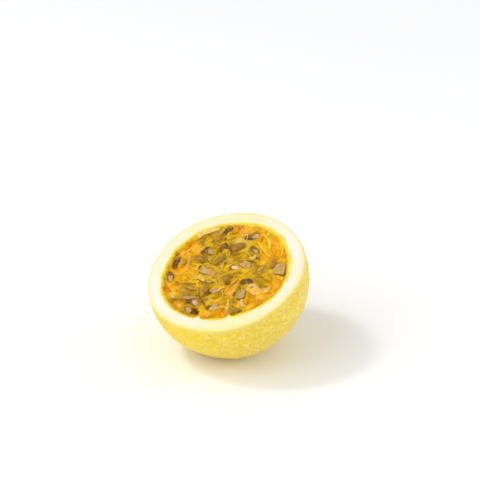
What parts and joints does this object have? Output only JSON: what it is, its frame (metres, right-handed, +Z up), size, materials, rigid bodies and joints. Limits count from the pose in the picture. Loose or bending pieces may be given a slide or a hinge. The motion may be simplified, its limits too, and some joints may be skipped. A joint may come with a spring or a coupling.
{
  "type": "passion fruit half",
  "caption": "Half of a yellow passion fruit, cut across the middle and lying tipped on its round side, with thick pale pith and juicy pulp full of seeds.",
  "frame": {"origin": "middle of the small flat spot on the rind that the half lies on, at the height of the ground", "axes": "+Z up; the cut faces up and tips 21 degrees towards -Y, which is the front; +X to the right as seen from the front"},
  "size_m": [0.0718, 0.0707, 0.0525],
  "materials": {
    "rind": "smooth waxy yellow rind outside; the cut ring is matt cream pith",
    "pulp": "wet glossy gel, orange-yellow to olive, with grey-brown seeds"
  },
  "bodies": {
    "root": {"shell": "rind", "pulp": "pulp"}
  },
  "joints": []
}
